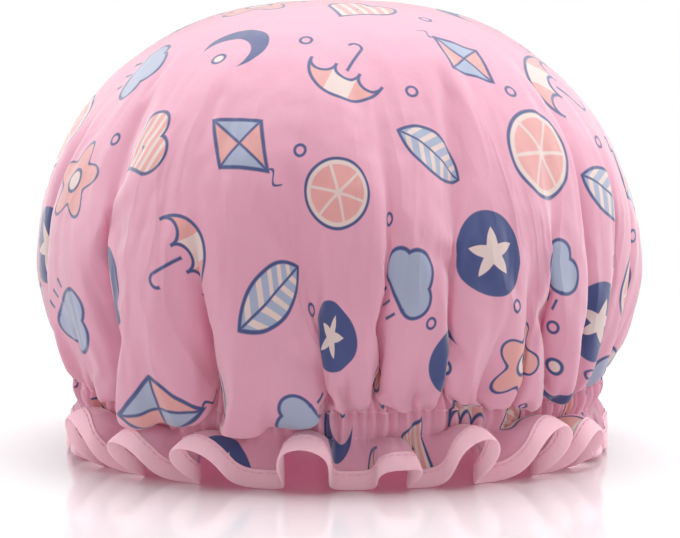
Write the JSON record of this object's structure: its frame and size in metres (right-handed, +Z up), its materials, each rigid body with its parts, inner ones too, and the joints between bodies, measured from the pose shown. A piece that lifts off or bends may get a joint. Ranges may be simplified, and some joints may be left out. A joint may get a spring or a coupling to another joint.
{
  "type": "shower cap",
  "caption": "Puffed double-layer shower cap: a gathered printed dome over a waterproof lining, with an elastic casing and a bound ruffle round the head opening.",
  "frame": {"origin": "on the table under the middle of the head opening, with the cap standing on its bound hem", "axes": "+Z up through the crown, the cap's pictured front towards -Y, +X to the viewer's right"},
  "size_m": [0.2278, 0.2264, 0.1697],
  "materials": {
    "printed_polyester": "fine plain weave with a soft sheen, pink ground with a scattered print in navy, pale blue, peach and cream",
    "eva_film": "thin frosted film, slightly see-through",
    "binding_tape": "soft folded woven tape in plain pink",
    "braided_elastic": "flat braided elastic, off-white",
    "sewing_thread": "spun polyester thread in pink"
  },
  "bodies": {
    "cap": {"printed_cover": "printed_polyester", "waterproof_lining": "eva_film", "hem_binding": "binding_tape", "casing_upper_needle_thread": "sewing_thread", "casing_upper_bobbin_thread": "sewing_thread", "casing_lower_needle_thread": "sewing_thread", "casing_lower_bobbin_thread": "sewing_thread", "hem_needle_thread": "sewing_thread", "hem_bobbin_thread": "sewing_thread"},
    "elastic": {"elastic_band": "braided_elastic", "elastic_bar_tack": "sewing_thread"}
  },
  "joints": [
    {"name": "elastic_in_casing", "type": "hinge", "parent": "cap", "child": "elastic", "pos_m": [0, 0, 0], "axis": [0, 0, 1], "continuous": true}
  ]
}
